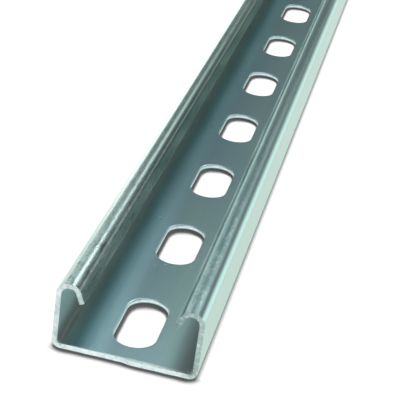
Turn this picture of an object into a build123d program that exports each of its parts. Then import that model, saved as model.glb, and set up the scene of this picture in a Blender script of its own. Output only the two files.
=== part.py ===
"""Slotted strut channel: one length of roll-formed, zinc-plated steel strip.

Frame: millimetres. The web lies flat on Z = 0 with its open side up, the length runs along Y,
and the origin is in the middle of the web's underside.
"""

from math import floor
import os

from build123d import *

# ---- driving dimensions ----------------------------------------------------------------
# the length of stock
channel_length = 600.0

# the rolled section
sheet = 1.5  # strip thickness
channel_width = 41.3  # outside, wall to wall
channel_height = 20.6  # outside, web underside to lip tops
web_bend = 1.0  # inside radius, web to wall
shoulder_bend = 2.0  # inside radius, wall to lip top
lip_flat = 0.4  # level strip on the lip's top, between its two bends
lip_bend = 1.7  # inside radius, lip top to the turned-down lip
lip_turn = 68.0  # degrees that the last bend turns, so that the lip leans into the throat
lip_straight = 3.4  # straight end of the lip, after its bend

# the punched row in the web
slot_width = 12.2
slot_length = 26.5  # end to end, along the channel
slot_pitch = 50.0
first_slot = 20.3  # cut end to the first slot's centre
slot_end_margin = 3.0  # least web left between a slot and the far cut end


# ---- what follows from them --------------------------------------------------------------
# The strip's middle line carries the section, so each bend gets half the sheet more.
half_sheet = sheet / 2
wall_x = channel_width / 2 - half_sheet
top_z = channel_height - half_sheet
web_turn_radius = web_bend + half_sheet
shoulder_turn_radius = shoulder_bend + half_sheet
lip_turn_radius = lip_bend + half_sheet

last_centre = channel_length - slot_end_margin - slot_length / 2
slot_count = floor((last_centre - first_slot) / slot_pitch) + 1
slot_row_y = [first_slot - channel_length / 2 + slot_pitch * step for step in range(slot_count)]

# ---- the channel -------------------------------------------------------------------------
with BuildPart() as strut_channel:
    # The rolls turn the strip three times on each side: web to wall, wall to lip top, and
    # lip top down into the throat. The middle line follows the right half and is mirrored.
    with BuildSketch(Plane.XZ.offset(-channel_length / 2)) as section:
        with BuildLine():
            web = Line((0, half_sheet), (wall_x - web_turn_radius, half_sheet))
            web_turn = JernArc(web @ 1, web % 1, web_turn_radius, 90)
            wall = Line(web_turn @ 1, (wall_x, top_z - shoulder_turn_radius))
            shoulder_turn = JernArc(wall @ 1, wall % 1, shoulder_turn_radius, 90)
            lip_top = PolarLine(shoulder_turn @ 1, lip_flat, direction=shoulder_turn % 1)
            lip_roll = JernArc(lip_top @ 1, lip_top % 1, lip_turn_radius, lip_turn)
            PolarLine(lip_roll @ 1, lip_straight, direction=lip_roll % 1)
            mirror(about=Plane.YZ)
        trace(line_width=sheet)
    extrude(amount=channel_length)

    # The slots are punched through the web before the strip is rolled.
    with BuildSketch(Plane.XY) as slot_row:
        with Locations([(0, y) for y in slot_row_y]):
            SlotOverall(slot_length, slot_width, rotation=90)
    extrude(amount=sheet, mode=Mode.SUBTRACT)

strut_channel.part.label = "strut_channel"

os.makedirs("parts", exist_ok=True)
export_step(strut_channel.part, "parts/strut_channel.step")
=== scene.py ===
"""A length of slotted strut channel on white studio paper.

Everything is in metres, in the CAD model's frame: the web lies flat on Z = 0 with the channel's open
side up, and the length runs along Y.
"""

import math

import bmesh
import bpy
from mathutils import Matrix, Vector
import numpy as np


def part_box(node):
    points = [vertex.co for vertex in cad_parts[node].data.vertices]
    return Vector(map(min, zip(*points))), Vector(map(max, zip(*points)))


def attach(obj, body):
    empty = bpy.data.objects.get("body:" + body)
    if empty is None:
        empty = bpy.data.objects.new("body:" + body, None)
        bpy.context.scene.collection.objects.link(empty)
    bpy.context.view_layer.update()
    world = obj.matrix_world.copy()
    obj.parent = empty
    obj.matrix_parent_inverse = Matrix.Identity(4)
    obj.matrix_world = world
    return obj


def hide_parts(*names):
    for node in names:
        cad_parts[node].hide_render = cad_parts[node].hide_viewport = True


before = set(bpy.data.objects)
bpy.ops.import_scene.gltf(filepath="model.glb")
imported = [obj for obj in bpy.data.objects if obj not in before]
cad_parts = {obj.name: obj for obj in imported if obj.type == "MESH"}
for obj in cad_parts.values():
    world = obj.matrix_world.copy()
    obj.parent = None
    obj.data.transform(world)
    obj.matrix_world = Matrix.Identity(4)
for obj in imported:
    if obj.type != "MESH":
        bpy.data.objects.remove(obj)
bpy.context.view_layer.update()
mm = 0.001

# ---- camera ----
# A long lens looks down on the near cut end from a little to its right. It is turned and rolled a
# few degrees to the left, so the channel runs away to the upper right.
camera_data = bpy.data.cameras.new("camera")
camera_data.lens = 120.63
camera_data.sensor_width = 36.0
camera = bpy.data.objects.new("camera", camera_data)
camera.location = (0.058778, -0.598757, 0.204318)
camera.rotation_euler = [math.radians(angle) for angle in (63.245, -7.481, 12.205)]
bpy.context.scene.collection.objects.link(camera)
bpy.context.scene.camera = camera
bpy.context.scene.view_settings.view_transform = "Standard"

# ---- channel ----
# The whole piece is one length of 1.5 mm steel strip. Slots are punched along its middle, rolls bend
# up the two walls and turn the lips down, and it is sheared to length and zinc plated.
low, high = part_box("strut_channel")
half_width = (high.x - low.x) / 2
sheet = 1.5 * mm
half_sheet = sheet / 2
web_bend = 1.75 * mm  # middle-line radii of the three bends on each side
shoulder_bend = 2.75 * mm
lip_bend = 2.45 * mm
lip_turn = 68  # degrees that the lip turns down from the top
lip_flat = 0.4 * mm
lip_straight = 3.4 * mm
slot_width = 12.2 * mm
slot_length = 26.5 * mm
slot_pitch = 50 * mm
first_slot = 20.3 * mm  # from the cut end to the first slot's centre
slot_count = 12
field_edge = 12 * mm  # half the width of the punched middle of the web
columns_across = 24  # faces across the punched middle
rows_per_slot = 24  # faces along each slot's share of the web
slit_round = 0.3 * mm  # radius on the strip's two slit edges, which are the lips' ends
shear_round = 0.16 * mm  # radius on the cut ends
punch_round = 0.42 * mm  # radius that the punch drags down on a slot's upper rim
punch_land = 0.7 * mm  # height of the smooth part of a slot's wall, under the rounded rim
punch_flare = 0.09 * mm  # how much wider the torn lower part of a slot is at each side
torn_edge = 0.05 * mm  # height of the narrow bands at the top and the foot of a slot's torn part
cut_reach = 1.6 * mm  # how far in from a cut end its unevenness fades out
cut_step = 0.3 * mm  # half the height of the step that the shear left near the web's middle
lip_top = 42 * mm  # distance round the strip past which the slit edges wander
slot_y = low.y + first_slot + slot_pitch * np.arange(slot_count)


def walk_strip(start, lengths, turns, steps):
    """Points, headings and distances along a line of flats and bends. Each step goes ahead by its
    chord, which is its length times sin(half turn) / (half turn), at the middle of its turn."""
    step_length = np.repeat(np.array(lengths) / steps, steps)
    step_turn = np.repeat(np.radians(turns) / steps, steps)
    heading = np.concatenate([[0], np.cumsum(step_turn)])
    middle = heading[:-1] + step_turn / 2
    chord = step_length * np.sinc(step_turn / 2 / np.pi)
    ahead = np.cumsum(np.stack([chord * np.cos(middle), chord * np.sin(middle)], axis=1), axis=0)
    distance = np.concatenate([[0], np.cumsum(step_length)])
    return np.concatenate([[[0, 0]], ahead]) + start, heading, start[0] + distance


def strip_loop():
    """The channel's outline as a closed loop of points, outward normals and distances around the
    strip from the web's middle. Both faces lie half a sheet from the middle line, along its normal,
    and each slit edge is two quarter rounds."""
    bends = np.array([web_bend, shoulder_bend, lip_bend])
    turned = np.array([90, 90, lip_turn])
    arcs = bends * np.radians(turned)
    wall = (high.z - low.z) - sheet - web_bend - shoulder_bend
    flat = half_width - half_sheet - web_bend - field_edge
    lengths = [flat, arcs[0], wall, arcs[1], lip_flat, arcs[2], lip_straight - slit_round]
    turns = [0, turned[0], 0, turned[1], 0, turned[2], 0]
    steps = [2, 9, 4, 12, 1, 12, 4]
    line, heading, distance = walk_strip([field_edge, half_sheet], lengths, turns, steps)
    normal = np.stack([np.sin(heading), -np.cos(heading)], axis=1)
    middle_x = np.linspace(-field_edge, field_edge, columns_across + 1)[1:-1]
    middle = np.stack([middle_x, np.full(len(middle_x), half_sheet)], axis=1)
    down = np.tile([0.0, -1.0], (len(middle_x), 1))
    mirror = np.array([-1, 1])
    line = np.concatenate([line[::-1] * mirror, middle, line])
    normal = np.concatenate([normal[::-1] * mirror, down, normal])
    distance = np.concatenate([-distance[::-1], middle_x, distance])
    ahead = np.array([np.cos(heading[-1]), np.sin(heading[-1])])
    angle = np.radians([0, 22.5, 45, 67.5, 90])[:, None]
    corner = (half_sheet - slit_round) * normal[-1]
    outer = np.cos(angle) * normal[-1] + np.sin(angle) * ahead
    inner = np.sin(angle) * ahead - np.cos(angle) * normal[-1]
    rounds = np.concatenate([corner + slit_round * outer, (-corner + slit_round * inner)[::-1]])
    tip = (rounds + line[-1])[1:-1]
    tip_normal = np.concatenate([outer, inner[::-1]])[1:-1]
    tip_distance = np.full(len(tip), distance[-1] + slit_round)
    points = [line + half_sheet * normal, tip, (line - half_sheet * normal)[::-1]]
    normals = [normal, tip_normal, -normal[::-1]]
    loop = np.concatenate([*points, (tip * mirror)[::-1]])
    loop_normal = np.concatenate([*normals, (tip_normal * mirror)[::-1]])
    around = np.concatenate([distance, tip_distance, distance[::-1], -tip_distance])
    return loop, loop_normal, around, len(line), len(tip)


def grid_faces(rows, columns, first=0):
    """Four-cornered faces between neighbouring rows of a grid whose columns close on themselves."""
    row, column = np.meshgrid(np.arange(rows - 1), np.arange(columns), indexing="ij")
    here = row * columns + column
    beside = row * columns + (column + 1) % columns
    corners = np.stack([here, beside, beside + columns, here + columns], axis=-1)
    return (corners + first).reshape(-1, 4)


def station_rows():
    """Distances along the length at which the outline is repeated. Each slot's share of the web is
    cut into equal rows, and the first and last shares end where the sheared corners begin."""
    between = (slot_y[1:] + slot_y[:-1]) / 2
    edges = np.concatenate([[low.y + shear_round], between, [high.y - shear_round]])
    part = np.arange(rows_per_slot) / rows_per_slot
    rows = edges[:-1, None] + part * np.diff(edges)[:, None]
    return edges, np.append(rows.ravel(), edges[-1])


def slot_rings(bottom_y, top_y, centre_y):
    """One slot and its share of the web, as rings of points. The rim is an obround, its upper corner
    is a cosine round, and its wall is plumb and then flares. Outside the rim, each ring is a straight
    mix of the rim and the share's rectangle, at the same part of the way round."""
    across = np.linspace(-field_edge, field_edge, columns_across + 1)
    along = np.linspace(bottom_y, top_y, rows_per_slot + 1)
    right = np.stack([np.full(rows_per_slot, field_edge), along[:-1]], axis=1)
    top = np.stack([across[::-1][:-1], np.full(columns_across, top_y)], axis=1)
    left = np.stack([np.full(rows_per_slot, -field_edge), along[::-1][:-1]], axis=1)
    bottom = np.stack([across[:-1], np.full(columns_across, bottom_y)], axis=1)
    edge = np.concatenate([right, top, left, bottom])
    from_x = np.abs(edge[:, 0])
    from_y = np.abs(edge[:, 1] - centre_y)
    reach = np.where(edge[:, 1] > centre_y, top_y - centre_y, centre_y - bottom_y)
    on_side = from_x >= field_edge * 0.9999
    way = np.where(on_side, from_y, reach + field_edge - from_x) / (reach + field_edge)
    radius = slot_width / 2
    straight = slot_length / 2 - radius
    passed = way * (straight + radius * np.pi / 2)
    angle = np.clip((passed - straight) / radius, 0, np.pi / 2)
    side = np.sign(edge - [0, centre_y])
    outward = np.stack([np.cos(angle), np.sin(angle)], axis=1) * side
    side_run = np.stack([np.zeros(len(edge)), np.minimum(passed, straight)], axis=1) * side
    rim = radius * outward + side_run + [0, centre_y]
    turn = np.radians(np.arange(0, 91, 15))
    rounded = np.stack([punch_round * (1 - np.sin(turn)), sheet - punch_round * (1 - np.cos(turn))], axis=1)
    torn_top = sheet - punch_round - punch_land
    wall_x = np.array([0, 0.5, 1, 1]) * punch_flare
    wall_z = [torn_top, torn_top - torn_edge, torn_edge, 0]
    profile = np.concatenate([rounded, np.stack([wall_x, wall_z], axis=1)])
    rim_rings = rim[None] + profile[:, :1, None] * outward[None]
    share = np.array([1, 0.72, 0.48, 0.28, 0.12, 0.035])[:, None, None]
    above = (1 - share) * rim_rings[0] + share * edge
    below = ((1 - share) * rim_rings[-1] + share * edge)[::-1]
    flat = np.concatenate([above, rim_rings, below])
    height = np.concatenate([np.full(len(share), sheet), profile[:, 1], np.zeros(len(share))])
    rings = np.empty((*flat.shape[:2], 3))
    rings[..., :2] = flat
    rings[..., 2] = height[:, None]
    plated = np.zeros(len(share))
    smooth = np.concatenate([plated, np.linspace(0, 1, len(turn)), [1, 0, 0, 0], plated])
    # The wall's lower part is marked as torn metal, which is painted dark with painted shade at its foot.
    torn_and_shade = np.zeros(len(smooth))
    torn_and_shade[len(share) + len(turn) + 1:-len(share) - 1] = 0.4, 1
    under = np.zeros(len(smooth))
    under[-len(share) - 1:] = 1
    return rings, under, smooth, torn_and_shade


patch_points = []
patch_faces = []
patch_marks = []


def keep_patch(points, faces, around, outer, bare, torn_and_shade):
    """Adds a patch to the lists that the mesh is made from. Its marks are the distance around the
    strip, whether it is on the strip's outer face, and the shares of bare metal and of torn metal with
    painted shade."""
    first = sum(len(part) for part in patch_points)
    patch_points.append(points.reshape(-1, 3))
    patch_faces.append(faces + first)
    marks = np.empty((*points.shape[:-1], 4))
    for column, mark in enumerate((around, outer, bare, torn_and_shade)):
        marks[..., column] = mark
    patch_marks.append(marks.reshape(-1, 4))


loop, loop_normal, around, line_count, tip_count = strip_loop()
edges, rows = station_rows()
loop_count = len(loop)
side_count = (line_count - columns_across - 1) // 2
inner_first = line_count + tip_count
column = np.arange(loop_count)
outer_field = (column >= side_count) & (column < side_count + columns_across)
inner_field = (column >= inner_first + side_count) & (column < inner_first + side_count + columns_across)
slit_edge = np.zeros(loop_count)
slit_edge[line_count:inner_first] = 0.1
slit_edge[2 * line_count + tip_count:] = 0.4
outer_face = np.zeros(loop_count)
outer_face[:line_count] = 1

swept = np.empty((len(rows), loop_count, 3))
swept[..., ::2] = loop
swept[..., 1] = rows[:, None]
swept_faces = grid_faces(len(rows), loop_count)
outside_field = ~(outer_field | inner_field)[swept_faces[:, 0] % loop_count]
keep_patch(swept, swept_faces[outside_field], around, outer_face, slit_edge, 0)
for centre, bottom, top in zip(slot_y, edges[:-1], edges[1:]):
    rings, under, smooth, torn_and_shade = slot_rings(bottom, top, centre)
    ring_faces = grid_faces(*rings.shape[:2])
    keep_patch(rings, ring_faces, rings[..., 0], under[:, None], smooth[:, None], torn_and_shade[:, None])
turn = np.radians([0, 18, 36, 54, 72, 90])
tip_corners = []
for end, inward in ((low.y, 1), (high.y, -1)):
    inset = shear_round * (1 - np.cos(turn))
    corner = np.empty((len(turn), loop_count, 3))
    corner[..., ::2] = loop - inset[:, None, None] * loop_normal
    corner[..., 1] = (end + inward * shear_round * (1 - np.sin(turn)))[:, None]
    worn = np.sin(turn)[:, None] ** 0.5
    keep_patch(corner, grid_faces(len(turn), loop_count), around, outer_face, worn, 0)
    outer = np.arange(line_count - 1)
    inner = 2 * line_count + tip_count - 1 - outer
    cap_faces = np.stack([outer, outer + 1, inner - 1, inner], axis=1)
    first = sum(len(part) for part in patch_points)
    keep_patch(corner[-1:], cap_faces, around, outer_face, 1, 0)
    tip_corners.append(np.arange(line_count - 1, inner_first + 1) + first)
    tip_corners.append(np.append(np.arange(2 * line_count + tip_count - 1, loop_count), 0) + first)

points = np.concatenate(patch_points)
marks = np.concatenate(patch_marks)
faces = np.concatenate(patch_faces)
used = np.zeros(len(points), bool)
used[faces] = True
used[np.concatenate(tip_corners)] = True
number = np.cumsum(used) - 1
points = points[used]
marks = marks[used]


def made_uneven(points, around):
    """Moves points inward a little. The shear left a step near the web's middle, which is a tanh
    across it, and the cuts wander by sines of the place across. The slit edges wander by sines of
    the length, which fade out to nothing up the lip."""
    moved = points.copy()
    near = np.clip(1 - (points[:, 1] - low.y) / cut_reach, 0, 1)
    far = np.clip(1 - (high.y - points[:, 1]) / cut_reach, 0, 1)
    x = points[:, 0] / mm
    step = cut_step * (1 + np.tanh(1.6 * (0.4 - x)))
    wander = 0.05 * (1 + np.sin(0.83 * x + 0.6)) + 0.03 * (1 + np.sin(2.1 * x + around * 900))
    moved[:, 1] += near * (step + wander * mm)
    moved[:, 1] -= far * wander * mm
    down_lip = np.clip((np.abs(around) - lip_top) / (4.5 * mm), 0, 1)
    y = points[:, 1] / mm
    side = np.sign(points[:, 0])
    wave = 0.05 * np.sin(0.071 * y + side) + 0.035 * np.sin(0.31 * y + 2 * side) + 0.025 * np.sin(0.93 * y)
    moved[:, 2] += down_lip * wave * mm
    moved[:, 0] -= 0.4 * down_lip * side * wave * mm
    return moved


points = made_uneven(points, marks[:, 0])
channel_mesh = bpy.data.meshes.new("strut_channel_steel")
face_corners = number[faces].tolist() + [number[corners].tolist() for corners in tip_corners]
channel_mesh.from_pydata(points.tolist(), [], face_corners)
strip_place = channel_mesh.attributes.new("strip_place", "FLOAT_VECTOR", "POINT")
strip_place.data.foreach_set("vector", np.stack([marks[:, 0], points[:, 1], marks[:, 1]], axis=1).ravel())
for name, values in (("bare_metal", marks[:, 2]), ("torn_metal_and_shade", marks[:, 3])):
    channel_mesh.attributes.new(name, "FLOAT", "POINT").data.foreach_set("value", values)
joined = bmesh.new()
joined.from_mesh(channel_mesh)
bmesh.ops.remove_doubles(joined, verts=joined.verts, dist=0.002 * mm)
bmesh.ops.recalc_face_normals(joined, faces=joined.faces)
joined.to_mesh(channel_mesh)
joined.free()
channel_mesh.shade_smooth()


def face_weighted_normals(mesh):
    """Each point's normal as the sum of its faces' normals times their areas, so that flats stay
    flat beside small rounded corners."""
    corner_point = np.empty(len(mesh.loops), np.int32)
    mesh.loops.foreach_get("vertex_index", corner_point)
    face_normal = np.empty(len(mesh.polygons) * 3)
    area = np.empty(len(mesh.polygons))
    corner_count = np.empty(len(mesh.polygons), np.int32)
    mesh.polygons.foreach_get("normal", face_normal)
    mesh.polygons.foreach_get("area", area)
    mesh.polygons.foreach_get("loop_total", corner_count)
    weighted = np.repeat(face_normal.reshape(-1, 3) * area[:, None], corner_count, axis=0)
    total = np.zeros((len(mesh.vertices), 3))
    np.add.at(total, corner_point, weighted)
    return total / np.linalg.norm(total, axis=1, keepdims=True)


channel_mesh.normals_split_custom_set_from_vertices(face_weighted_normals(channel_mesh))
channel = bpy.data.objects.new("strut_channel_steel", channel_mesh)
bpy.context.scene.collection.objects.link(channel)


def add_node(kind, *values, **settings):
    """A node in the current node tree. Its inputs, in order, take a value or another node's outlet."""
    node = tree.nodes.new("ShaderNode" + kind)
    for name, setting in settings.items():
        setattr(node, name, setting)
    for socket, value in zip(node.inputs, values):
        if isinstance(value, bpy.types.NodeSocket):
            tree.links.new(value, socket)
        elif value is not None:
            socket.default_value = value
    return node


def math_node(operation, *values):
    """One sum, product or other step of arithmetic."""
    return add_node("Math", *values, operation=operation).outputs["Value"]


def product(first, *others):
    """All the values times each other."""
    for value in others:
        first = math_node("MULTIPLY", first, value)
    return first


def rise(value, start, end, first=0.0, last=1.0):
    """A smooth step that is first before start and last after end."""
    step = add_node("MapRange", value, start, end, first, last, interpolation_type="SMOOTHSTEP")
    return step.outputs["Result"]


def band(value, start, full, last, end):
    """A smooth step up from start to full, times a smooth step down from last to end, all in mm."""
    up = rise(value, start * mm, full * mm)
    return math_node("MULTIPLY", up, rise(value, last * mm, end * mm, 1.0, 0.0))


def laid_over(colour, share, shade, mixing="MIX"):
    """The colour times (1 - share) plus the shade times share, or the colour times the shade."""
    mix = add_node("Mix", data_type="RGBA", blend_type=mixing)
    sockets = {socket.identifier: socket for socket in mix.inputs}
    for name, value in (("Factor_Float", share), ("A_Color", colour), ("B_Color", shade)):
        if isinstance(value, bpy.types.NodeSocket):
            tree.links.new(value, sockets[name])
        else:
            sockets[name].default_value = value
    return next(socket for socket in mix.outputs if socket.identifier == "Result_Color")


def striped(colour, places, shade, *shares):
    """The colour with a shade laid over it in a stripe along the strip. Its places are distances
    from the web's middle, in mm, and its share is a band over them times the shares."""
    return laid_over(colour, product(band(from_middle, *places), *shares), shade)


def streaks(across, along, detail, roughness=0.5):
    """Noise with its own count of cells per metre across the strip and along it."""
    stretched = add_node("VectorMath", strip_place, (across, along, 40), operation="MULTIPLY")
    return add_node("TexNoise", stretched.outputs["Vector"], None, 1.0, detail, roughness).outputs[0]


def spot(x, y, radius):
    """One inside a radius round a place on the web's upper face, falling to nothing at its edge."""
    apart = add_node("VectorMath", strip_place, (x * mm, y * mm, 0), operation="DISTANCE")
    return rise(apart.outputs["Value"], radius * mm, radius * 0.3 * mm)


zinc = bpy.data.materials.new("zinc_plate")
zinc.use_nodes = True
tree = zinc.node_tree
metal = tree.nodes["Principled BSDF"]
metal.inputs["Metallic"].default_value = 1.0
metal.inputs["Specular Tint"].default_value = (0.86, 0.96, 0.89, 1)
strip_place = add_node("Attribute", attribute_name="strip_place").outputs["Vector"]
bare = add_node("Attribute", attribute_name="bare_metal").outputs["Fac"]
torn_and_shade = add_node("Attribute", attribute_name="torn_metal_and_shade").outputs["Fac"]
object_place = add_node("TexCoord").outputs["Object"]
strip_axes = add_node("SeparateXYZ", strip_place)
around_strip = strip_axes.outputs["X"]
along_strip = strip_axes.outputs["Y"]
outer_side = strip_axes.outputs["Z"]
inner_side = math_node("SUBTRACT", 1.0, outer_side)
from_middle = math_node("ABSOLUTE", around_strip)
right_side = rise(around_strip, -1 * mm, 1 * mm)
left_side = math_node("SUBTRACT", 1.0, right_side)
lips = product(rise(from_middle, 38.0 * mm, 39.5 * mm), outer_side)

# Web: bluish on the left, greener on the right, in wide soft patches. The walls' outsides are paler.
clouds = streaks(55, 16, 2.0)
greenish = rise(math_node("MULTIPLY_ADD", around_strip, 18.0, clouds), 0.28, 0.78)
colour = laid_over((0.335, 0.545, 0.615, 1), greenish, (0.355, 0.56, 0.56, 1))
# Painted reflection: a pale band on the web's left half, strongest near the cut end.
painted_reflection_near_end = rise(along_strip, -120 * mm, -280 * mm)
colour = laid_over(colour, product(band(around_strip, -15.5, -12, -9, -3), inner_side, painted_reflection_near_end, 0.7),
                   (0.52, 0.78, 0.86, 1))
colour = laid_over(colour, product(rise(from_middle, 13 * mm, 17 * mm), inner_side), (0.56, 0.65, 0.64, 1))
# Painted shade in the inner bends at the walls' feet, fading out up the walls.
inside_bends = product(band(from_middle, 17.0, 18.4, 22, 28), inner_side)
colour = laid_over(colour, product(inside_bends, 0.7), (0.20, 0.25, 0.24, 1))
colour = laid_over(colour, product(rise(from_middle, 18 * mm, 22 * mm), outer_side), (0.36, 0.50, 0.47, 1))

# Lips: the left one carries painted light, a painted highlight on its shoulder and crest and a painted shade
# in the green band beside them.
colour = laid_over(colour, lips, laid_over((0.43, 0.57, 0.55, 1), right_side, (0.29, 0.48, 0.49, 1)))
painted_light_along = rise(along_strip, -290 * mm, -200 * mm, 0.4, 0.9)
left_outside = product(left_side, outer_side)
colour = striped(colour, (34.5, 36.5, 38.0, 40.8), (0.88, 1.0, 0.96, 1), left_outside, painted_light_along)
colour = striped(colour, (38.6, 39.6, 40.0, 41.0), (0.72, 1.0, 0.97, 1), left_outside, 0.8)
# Painted highlight along the left lip's crest.
crest = product(band(from_middle, 40.0, 41.2, 41.6, 42.1), left_outside)
colour = laid_over(colour, product(crest, 0.95), (0.72, 1.0, 0.95, 1))
# Painted shade: a dark green band beside the crest.
colour = striped(colour, (41.6, 42.0, 42.7, 43.5), (0.05, 0.10, 0.095, 1), left_outside, painted_light_along)

# The right lip carries painted light: a painted reflection on its shoulder, a painted shade band on its top,
# another along its bend that darkens farther along, and thin painted highlights along its bend and its inner
# edge.
right_outside = product(right_side, outer_side)
colour = striped(colour, (35.8, 37.2, 38.7, 39.2), (0.60, 0.88, 0.86, 1), right_outside, 0.8)
colour = striped(colour, (39.0, 39.4, 40.1, 40.6), (0.18, 0.31, 0.31, 1), right_outside, 0.9)
# Painted shade that grows farther along the right lip's bend.
painted_shade_farther = rise(along_strip, -290 * mm, -100 * mm, 0.0, 0.6)
colour = striped(colour, (40.9, 41.4, 42.4, 43.2), (0.16, 0.28, 0.28, 1), right_outside, painted_shade_farther)
colour = laid_over(colour, product(rise(from_middle, 42.6 * mm, 43.4 * mm), right_outside, 0.8),
                   (0.66, 0.88, 0.88, 1))
colour = striped(colour, (40.5, 40.7, 40.8, 41.05), (0.50, 0.80, 0.82, 1), right_outside, 0.5)

# Rolling lines run the whole length. The lips are scuffed and spotted, most near the cut end.
pale_scuff = (0.72, 0.84, 0.82, 1)
dark_scuff = (0.20, 0.29, 0.28, 1)
rolling_lines = streaks(900, 7, 2.0)
colour = laid_over(colour, rise(rolling_lines, 0.3, 0.7, 0.0, 0.6), (0.93, 0.93, 0.93, 1), "MULTIPLY")
drag_lines = streaks(1100, 9, 2.0)
colour = laid_over(colour, product(lips, rise(drag_lines, 0.42, 0.62), 0.14), pale_scuff)
colour = laid_over(colour, product(lips, rise(drag_lines, 0.42, 0.28), 0.2), dark_scuff)
scuffs = streaks(750, 140, 3.0, 0.62)
scuffed = product(lips, rise(along_strip, -180 * mm, -280 * mm, 0.3, 1.1))
colour = laid_over(colour, product(scuffed, rise(scuffs, 0.52, 0.70), 0.35), pale_scuff)
colour = laid_over(colour, product(scuffed, rise(scuffs, 0.47, 0.33), 0.45), dark_scuff)
grains = streaks(1500, 700, 2.0, 0.6)
grained = product(scuffed, rise(crest, 0, 1, 1.0, 0.3), rise(around_strip, -1 * mm, 1 * mm, 1.0, 0.6))
colour = laid_over(colour, product(grained, rise(grains, 0.54, 0.66), 0.45), pale_scuff)
colour = laid_over(colour, product(grained, rise(grains, 0.46, 0.34), 0.5), dark_scuff)

# A few marks on the web between the first slots: a pale speck with a dark spot beside it, and rubs.
colour = laid_over(colour, spot(-10.5, -215, 0.6), (0.85, 0.95, 0.97, 1))
colour = laid_over(colour, product(spot(-10, -216, 0.5), 0.7), (0.12, 0.20, 0.21, 1))
colour = laid_over(colour, product(spot(-1.5, -244.5, 0.6), 0.6), (0.75, 0.88, 0.88, 1))
colour = laid_over(colour, product(spot(-4.5, -246, 0.5), 0.6), (0.75, 0.88, 0.88, 1))

# Cut metal: pale and broken, greyer on the right. The cut's edge is scraped about a millimetre in.
chips = add_node("TexNoise", object_place, None, 850.0, 3.0, 0.55).outputs[0]
cut = laid_over((0.66, 0.78, 0.77, 1), rise(around_strip, 15 * mm, 21 * mm), (0.34, 0.45, 0.42, 1))
cut = laid_over(cut, rise(around_strip, -20 * mm, -24 * mm), (0.57, 0.68, 0.67, 1))
cut = laid_over(cut, rise(around_strip, -37 * mm, -44 * mm), (0.42, 0.53, 0.51, 1))
cut = laid_over(cut, rise(around_strip, 37 * mm, 44 * mm), (0.22, 0.33, 0.33, 1))
cut = laid_over(cut, product(rise(chips, 0.45, 0.75), 0.45), (0.95, 1.0, 1.0, 1))
cut = laid_over(cut, product(rise(chips, 0.48, 0.28), 0.35), (0.24, 0.32, 0.30, 1))
scrape_reach = math_node("MULTIPLY_ADD", chips, 1.6 * mm, along_strip)
scraped = product(rise(scrape_reach, -297.6 * mm, -298.5 * mm), inner_side, 0.85)
scraped = math_node("MAXIMUM", bare, scraped)
colour = laid_over(colour, scraped, cut)
# Torn metal at the foot of the slot walls: partly the torn metal's own dark tone, partly painted shade where
# the walls meet the paper.
colour = laid_over(colour, torn_and_shade, (0.08, 0.10, 0.10, 1))
tree.links.new(colour, metal.inputs["Base Color"])

# Gloss: even on the flats, patchy on the lips, sharper on the crest and dull where cut.
# The relief's heights are in thousandths of a millimetre.
flat_blur = math_node("MULTIPLY_ADD", clouds, 0.03, 0.265)
lip_blur = math_node("MULTIPLY_ADD", product(scuffs, scuffed), 0.12, 0.235)
lip_blur = math_node("MULTIPLY_ADD", right_side, 0.05, lip_blur)
lip_blur = math_node("MULTIPLY_ADD", crest, -0.05, lip_blur)
blur = math_node("MULTIPLY_ADD", lips, math_node("SUBTRACT", lip_blur, flat_blur), flat_blur)
blur = math_node("MULTIPLY_ADD", scraped, 0.2, blur)
blur = math_node("MULTIPLY_ADD", torn_and_shade, 0.3, blur)
blur = math_node("MULTIPLY_ADD", inside_bends, 0.4, blur)
blur = math_node("MULTIPLY_ADD", product(rise(from_middle, 43.0 * mm, 44.0 * mm), right_outside), 0.2, blur)
tree.links.new(blur, metal.inputs["Roughness"])
height = product(math_node("ADD", scuffs, grains), grained, 1.6)
height = math_node("MULTIPLY_ADD", clouds, 10.0, height)
height = math_node("MULTIPLY_ADD", product(chips, scraped), 60.0, height)
relief = add_node("Bump")
relief.inputs["Strength"].default_value = 1.0
relief.inputs["Distance"].default_value = 0.001 * mm
tree.links.new(height, relief.inputs["Height"])
tree.links.new(relief.outputs["Normal"], metal.inputs["Normal"])
channel_mesh.materials.append(zinc)
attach(channel, "root")
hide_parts("strut_channel")

# ---- floor ----
# White studio paper under the piece. It shows as plain white, except in the thin shadow where light
# from behind can't get under the piece's edges. The shadow is widest in the slots and thinnest along
# the walls.
paper_half = 40.0
paper_z = -0.1 * mm
paper_points = [(x * paper_half, y * paper_half, paper_z) for x, y in ((-1, -1), (1, -1), (1, 1), (-1, 1))]
paper_mesh = bpy.data.meshes.new("floor")
paper_mesh.from_pydata(paper_points, [], [(0, 1, 2, 3)])
paper = bpy.data.objects.new("floor", paper_mesh)
bpy.context.scene.collection.objects.link(paper)
shadow_reach = 6 * mm  # length of the rays that look for the piece's edges
shadow_beside = (0.54, 0.72)  # share of open rays at which the paper is dark, and at which it is lit
shadow_in_front = (0.50, 0.84)
shadow_in_slots = (0.71, 0.82)
white_paper = bpy.data.materials.new("white_paper")
white_paper.use_nodes = True
tree = white_paper.node_tree
tree.nodes.clear()


def open_to(azimuth, elevation):
    """The share of short rays, spread around a direction given in degrees, that meet nothing."""
    turned = math.radians(azimuth)
    raised = math.radians(elevation)
    level = math.cos(raised)
    toward = add_node("CombineXYZ", level * math.cos(turned), level * math.sin(turned), math.sin(raised))
    rays = add_node("AmbientOcclusion", None, shadow_reach, toward.outputs["Vector"], samples=32)
    return rays.outputs["AO"]


def mixed(share, value, other):
    """The value times the share, plus the other times what is left of one."""
    return math_node("MULTIPLY_ADD", share, math_node("SUBTRACT", value, other), other)


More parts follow.
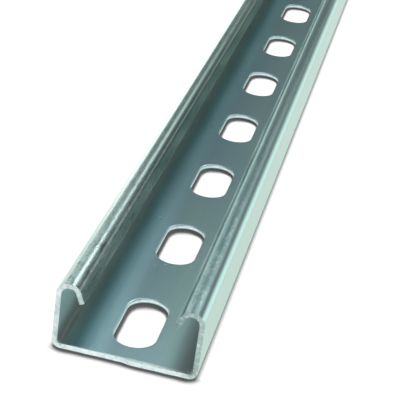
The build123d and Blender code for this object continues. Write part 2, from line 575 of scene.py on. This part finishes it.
on_paper = add_node("SeparateXYZ", add_node("TexCoord").outputs["Object"])
from_centre = math_node("ABSOLUTE", on_paper.outputs["X"])
past_cut = rise(on_paper.outputs["Y"], low.y - 0.5 * mm, low.y + 2 * mm)
under_web = product(past_cut, rise(from_centre, 12 * mm, 16 * mm, 1.0, 0.0))
from_back = open_to(90, 38)
lit_outside = mixed(past_cut, rise(from_back, *shadow_beside), rise(from_back, *shadow_in_front))
lit = mixed(under_web, rise(open_to(111, 33), *shadow_in_slots), lit_outside)
ray = add_node("LightPath")
mirrored = math_node("MAXIMUM", ray.outputs["Is Glossy Ray"], ray.outputs["Is Transmission Ray"])
shown = math_node("MULTIPLY_ADD", ray.outputs["Is Camera Ray"], lit, mirrored)
glow = add_node("Emission", (1, 1, 1, 1), shown)
matt = add_node("BsdfDiffuse", (0.2, 0.195, 0.195, 1))
surface = add_node("AddShader", matt.outputs["BSDF"], glow.outputs["Emission"])
add_node("OutputMaterial", surface.outputs["Shader"])
paper_mesh.materials.append(white_paper)

# ---- studio ----
# The white paper sweeps up a little all round, and above it the room is dim. One long soft box hangs
# high at the back, a window strip below it, and weaker soft boxes stand around and overhead.
studio = bpy.data.worlds.new("studio")
bpy.context.scene.world = studio
studio.use_nodes = True
tree = studio.node_tree
tree.nodes.clear()
upward = add_node("SeparateXYZ", add_node("TexCoord").outputs["Generated"])
room_light = rise(upward.outputs["Z"], 0.115, 0.18, 1.0, 0.08)
room = add_node("Background", (1, 1, 1, 1), room_light)
add_node("OutputWorld", room.outputs["Background"])


def soft_box(name, azimuth, elevation, width, height, brightness):
    """A flat lamp 3 m from the origin that faces it. Its power is brightness times area times pi."""
    lamp = bpy.data.lights.new(name, "AREA")
    lamp.shape = "RECTANGLE"
    lamp.size = width
    lamp.size_y = height
    lamp.energy = brightness * width * height * math.pi
    box = bpy.data.objects.new(name, lamp)
    turned = math.radians(azimuth)
    raised = math.radians(elevation)
    out = Vector((math.cos(raised) * math.cos(turned), math.cos(raised) * math.sin(turned), math.sin(raised)))
    box.location = out * 3.0
    box.rotation_euler = (-out).to_track_quat("-Z", "Y").to_euler()
    bpy.context.scene.collection.objects.link(box)


soft_box("back_lamp", 62.5, 50, 2.45, 0.63, 5.3)
soft_box("back_left_lamp", 108, 50, 0.8, 0.63, 2.2)
soft_box("window_strip", 86, 31, 0.8, 0.7, 0.65)
soft_box("left_lamp", 133, 36, 1.5, 0.7, 2.1)
soft_box("left_low_lamp", 118, 9, 0.95, 0.5, 1.5)
soft_box("far_left_lamp", 160, 25, 1.4, 1.2, 3.0)
soft_box("right_lamp", 15, 20, 1.4, 1.0, 6.0)
soft_box("front_lamp", 270, 25, 4.2, 1.2, 3.0)
soft_box("overhead_lamp", 90, 78, 1.5, 1.5, 1.4)
